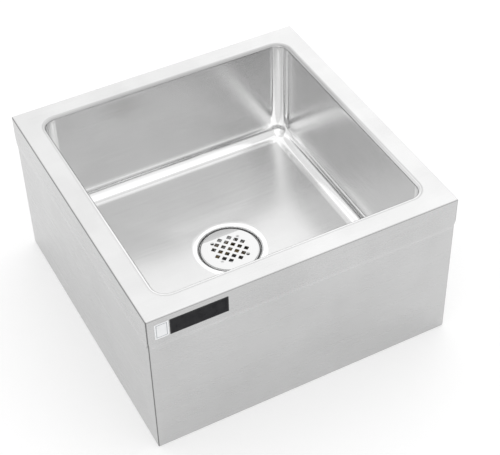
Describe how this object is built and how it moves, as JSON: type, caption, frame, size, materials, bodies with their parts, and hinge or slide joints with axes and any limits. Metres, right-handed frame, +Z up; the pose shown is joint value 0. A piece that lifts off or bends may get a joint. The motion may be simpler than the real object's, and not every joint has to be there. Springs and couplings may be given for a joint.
{
  "type": "mop service sink",
  "caption": "Floor-standing square stainless mop sink: coved bowl in a flat deck with apron, four-sided skirt, central floor waste with lift-out perforated strainer.",
  "frame": {"origin": "centre of the square footprint, on the floor under the hem", "axes": "+X to the right along the front, +Y to the back, +Z up; the front carries the two blank labels"},
  "size_m": [0.6096, 0.6099, 0.3302],
  "materials": {
    "sheet_steel": "fine brushed",
    "bowl_steel": "satin",
    "drain_steel": "machined",
    "strainer_steel": "polished",
    "screw_steel": "turned",
    "black_rubber": "matte, dark grey",
    "red_fibre": "pressed fibre, matte",
    "brass": "cast, dull",
    "pad_bitumen": "matte",
    "label_black": "smooth, blank",
    "label_white": "smooth, blank"
  },
  "bodies": {
    "sink": {"deck": "sheet_steel", "bowl": "bowl_steel", "skirt_front": "sheet_steel", "skirt_back": "sheet_steel", "skirt_left": "sheet_steel", "skirt_right": "sheet_steel", "corner_angle_front_left": "sheet_steel", "corner_angle_front_right": "sheet_steel", "corner_angle_back_left": "sheet_steel", "corner_angle_back_right": "sheet_steel", "sound_pad_front": "pad_bitumen", "sound_pad_back": "pad_bitumen", "sound_pad_left": "pad_bitumen", "sound_pad_right": "pad_bitumen", "drain_body": "drain_steel", "flange_seal": "black_rubber", "rubber_washer": "black_rubber", "fibre_washer": "red_fibre", "lock_nut": "brass", "pipe_gasket": "black_rubber", "compression_nut": "brass", "front_label": "label_black", "front_tag": "label_white"},
    "strainer": {"strainer_plate": "strainer_steel"},
    "screw_left": {"strainer_screw_left": "screw_steel"},
    "screw_right": {"strainer_screw_right": "screw_steel"}
  },
  "joints": [
    {"name": "strainer_lift", "type": "slide", "parent": "sink", "child": "strainer", "axis": [0, 0, 1], "range_m": [0, 0.27]},
    {"name": "screw_left_turn", "type": "hinge", "parent": "strainer", "child": "screw_left", "pos_m": [-0.02919, -0.02449, 0.0896], "axis": [0, 0, 1], "continuous": true},
    {"name": "screw_right_turn", "type": "hinge", "parent": "strainer", "child": "screw_right", "pos_m": [0.02919, 0.02449, 0.0896], "axis": [0, 0, 1], "continuous": true}
  ]
}
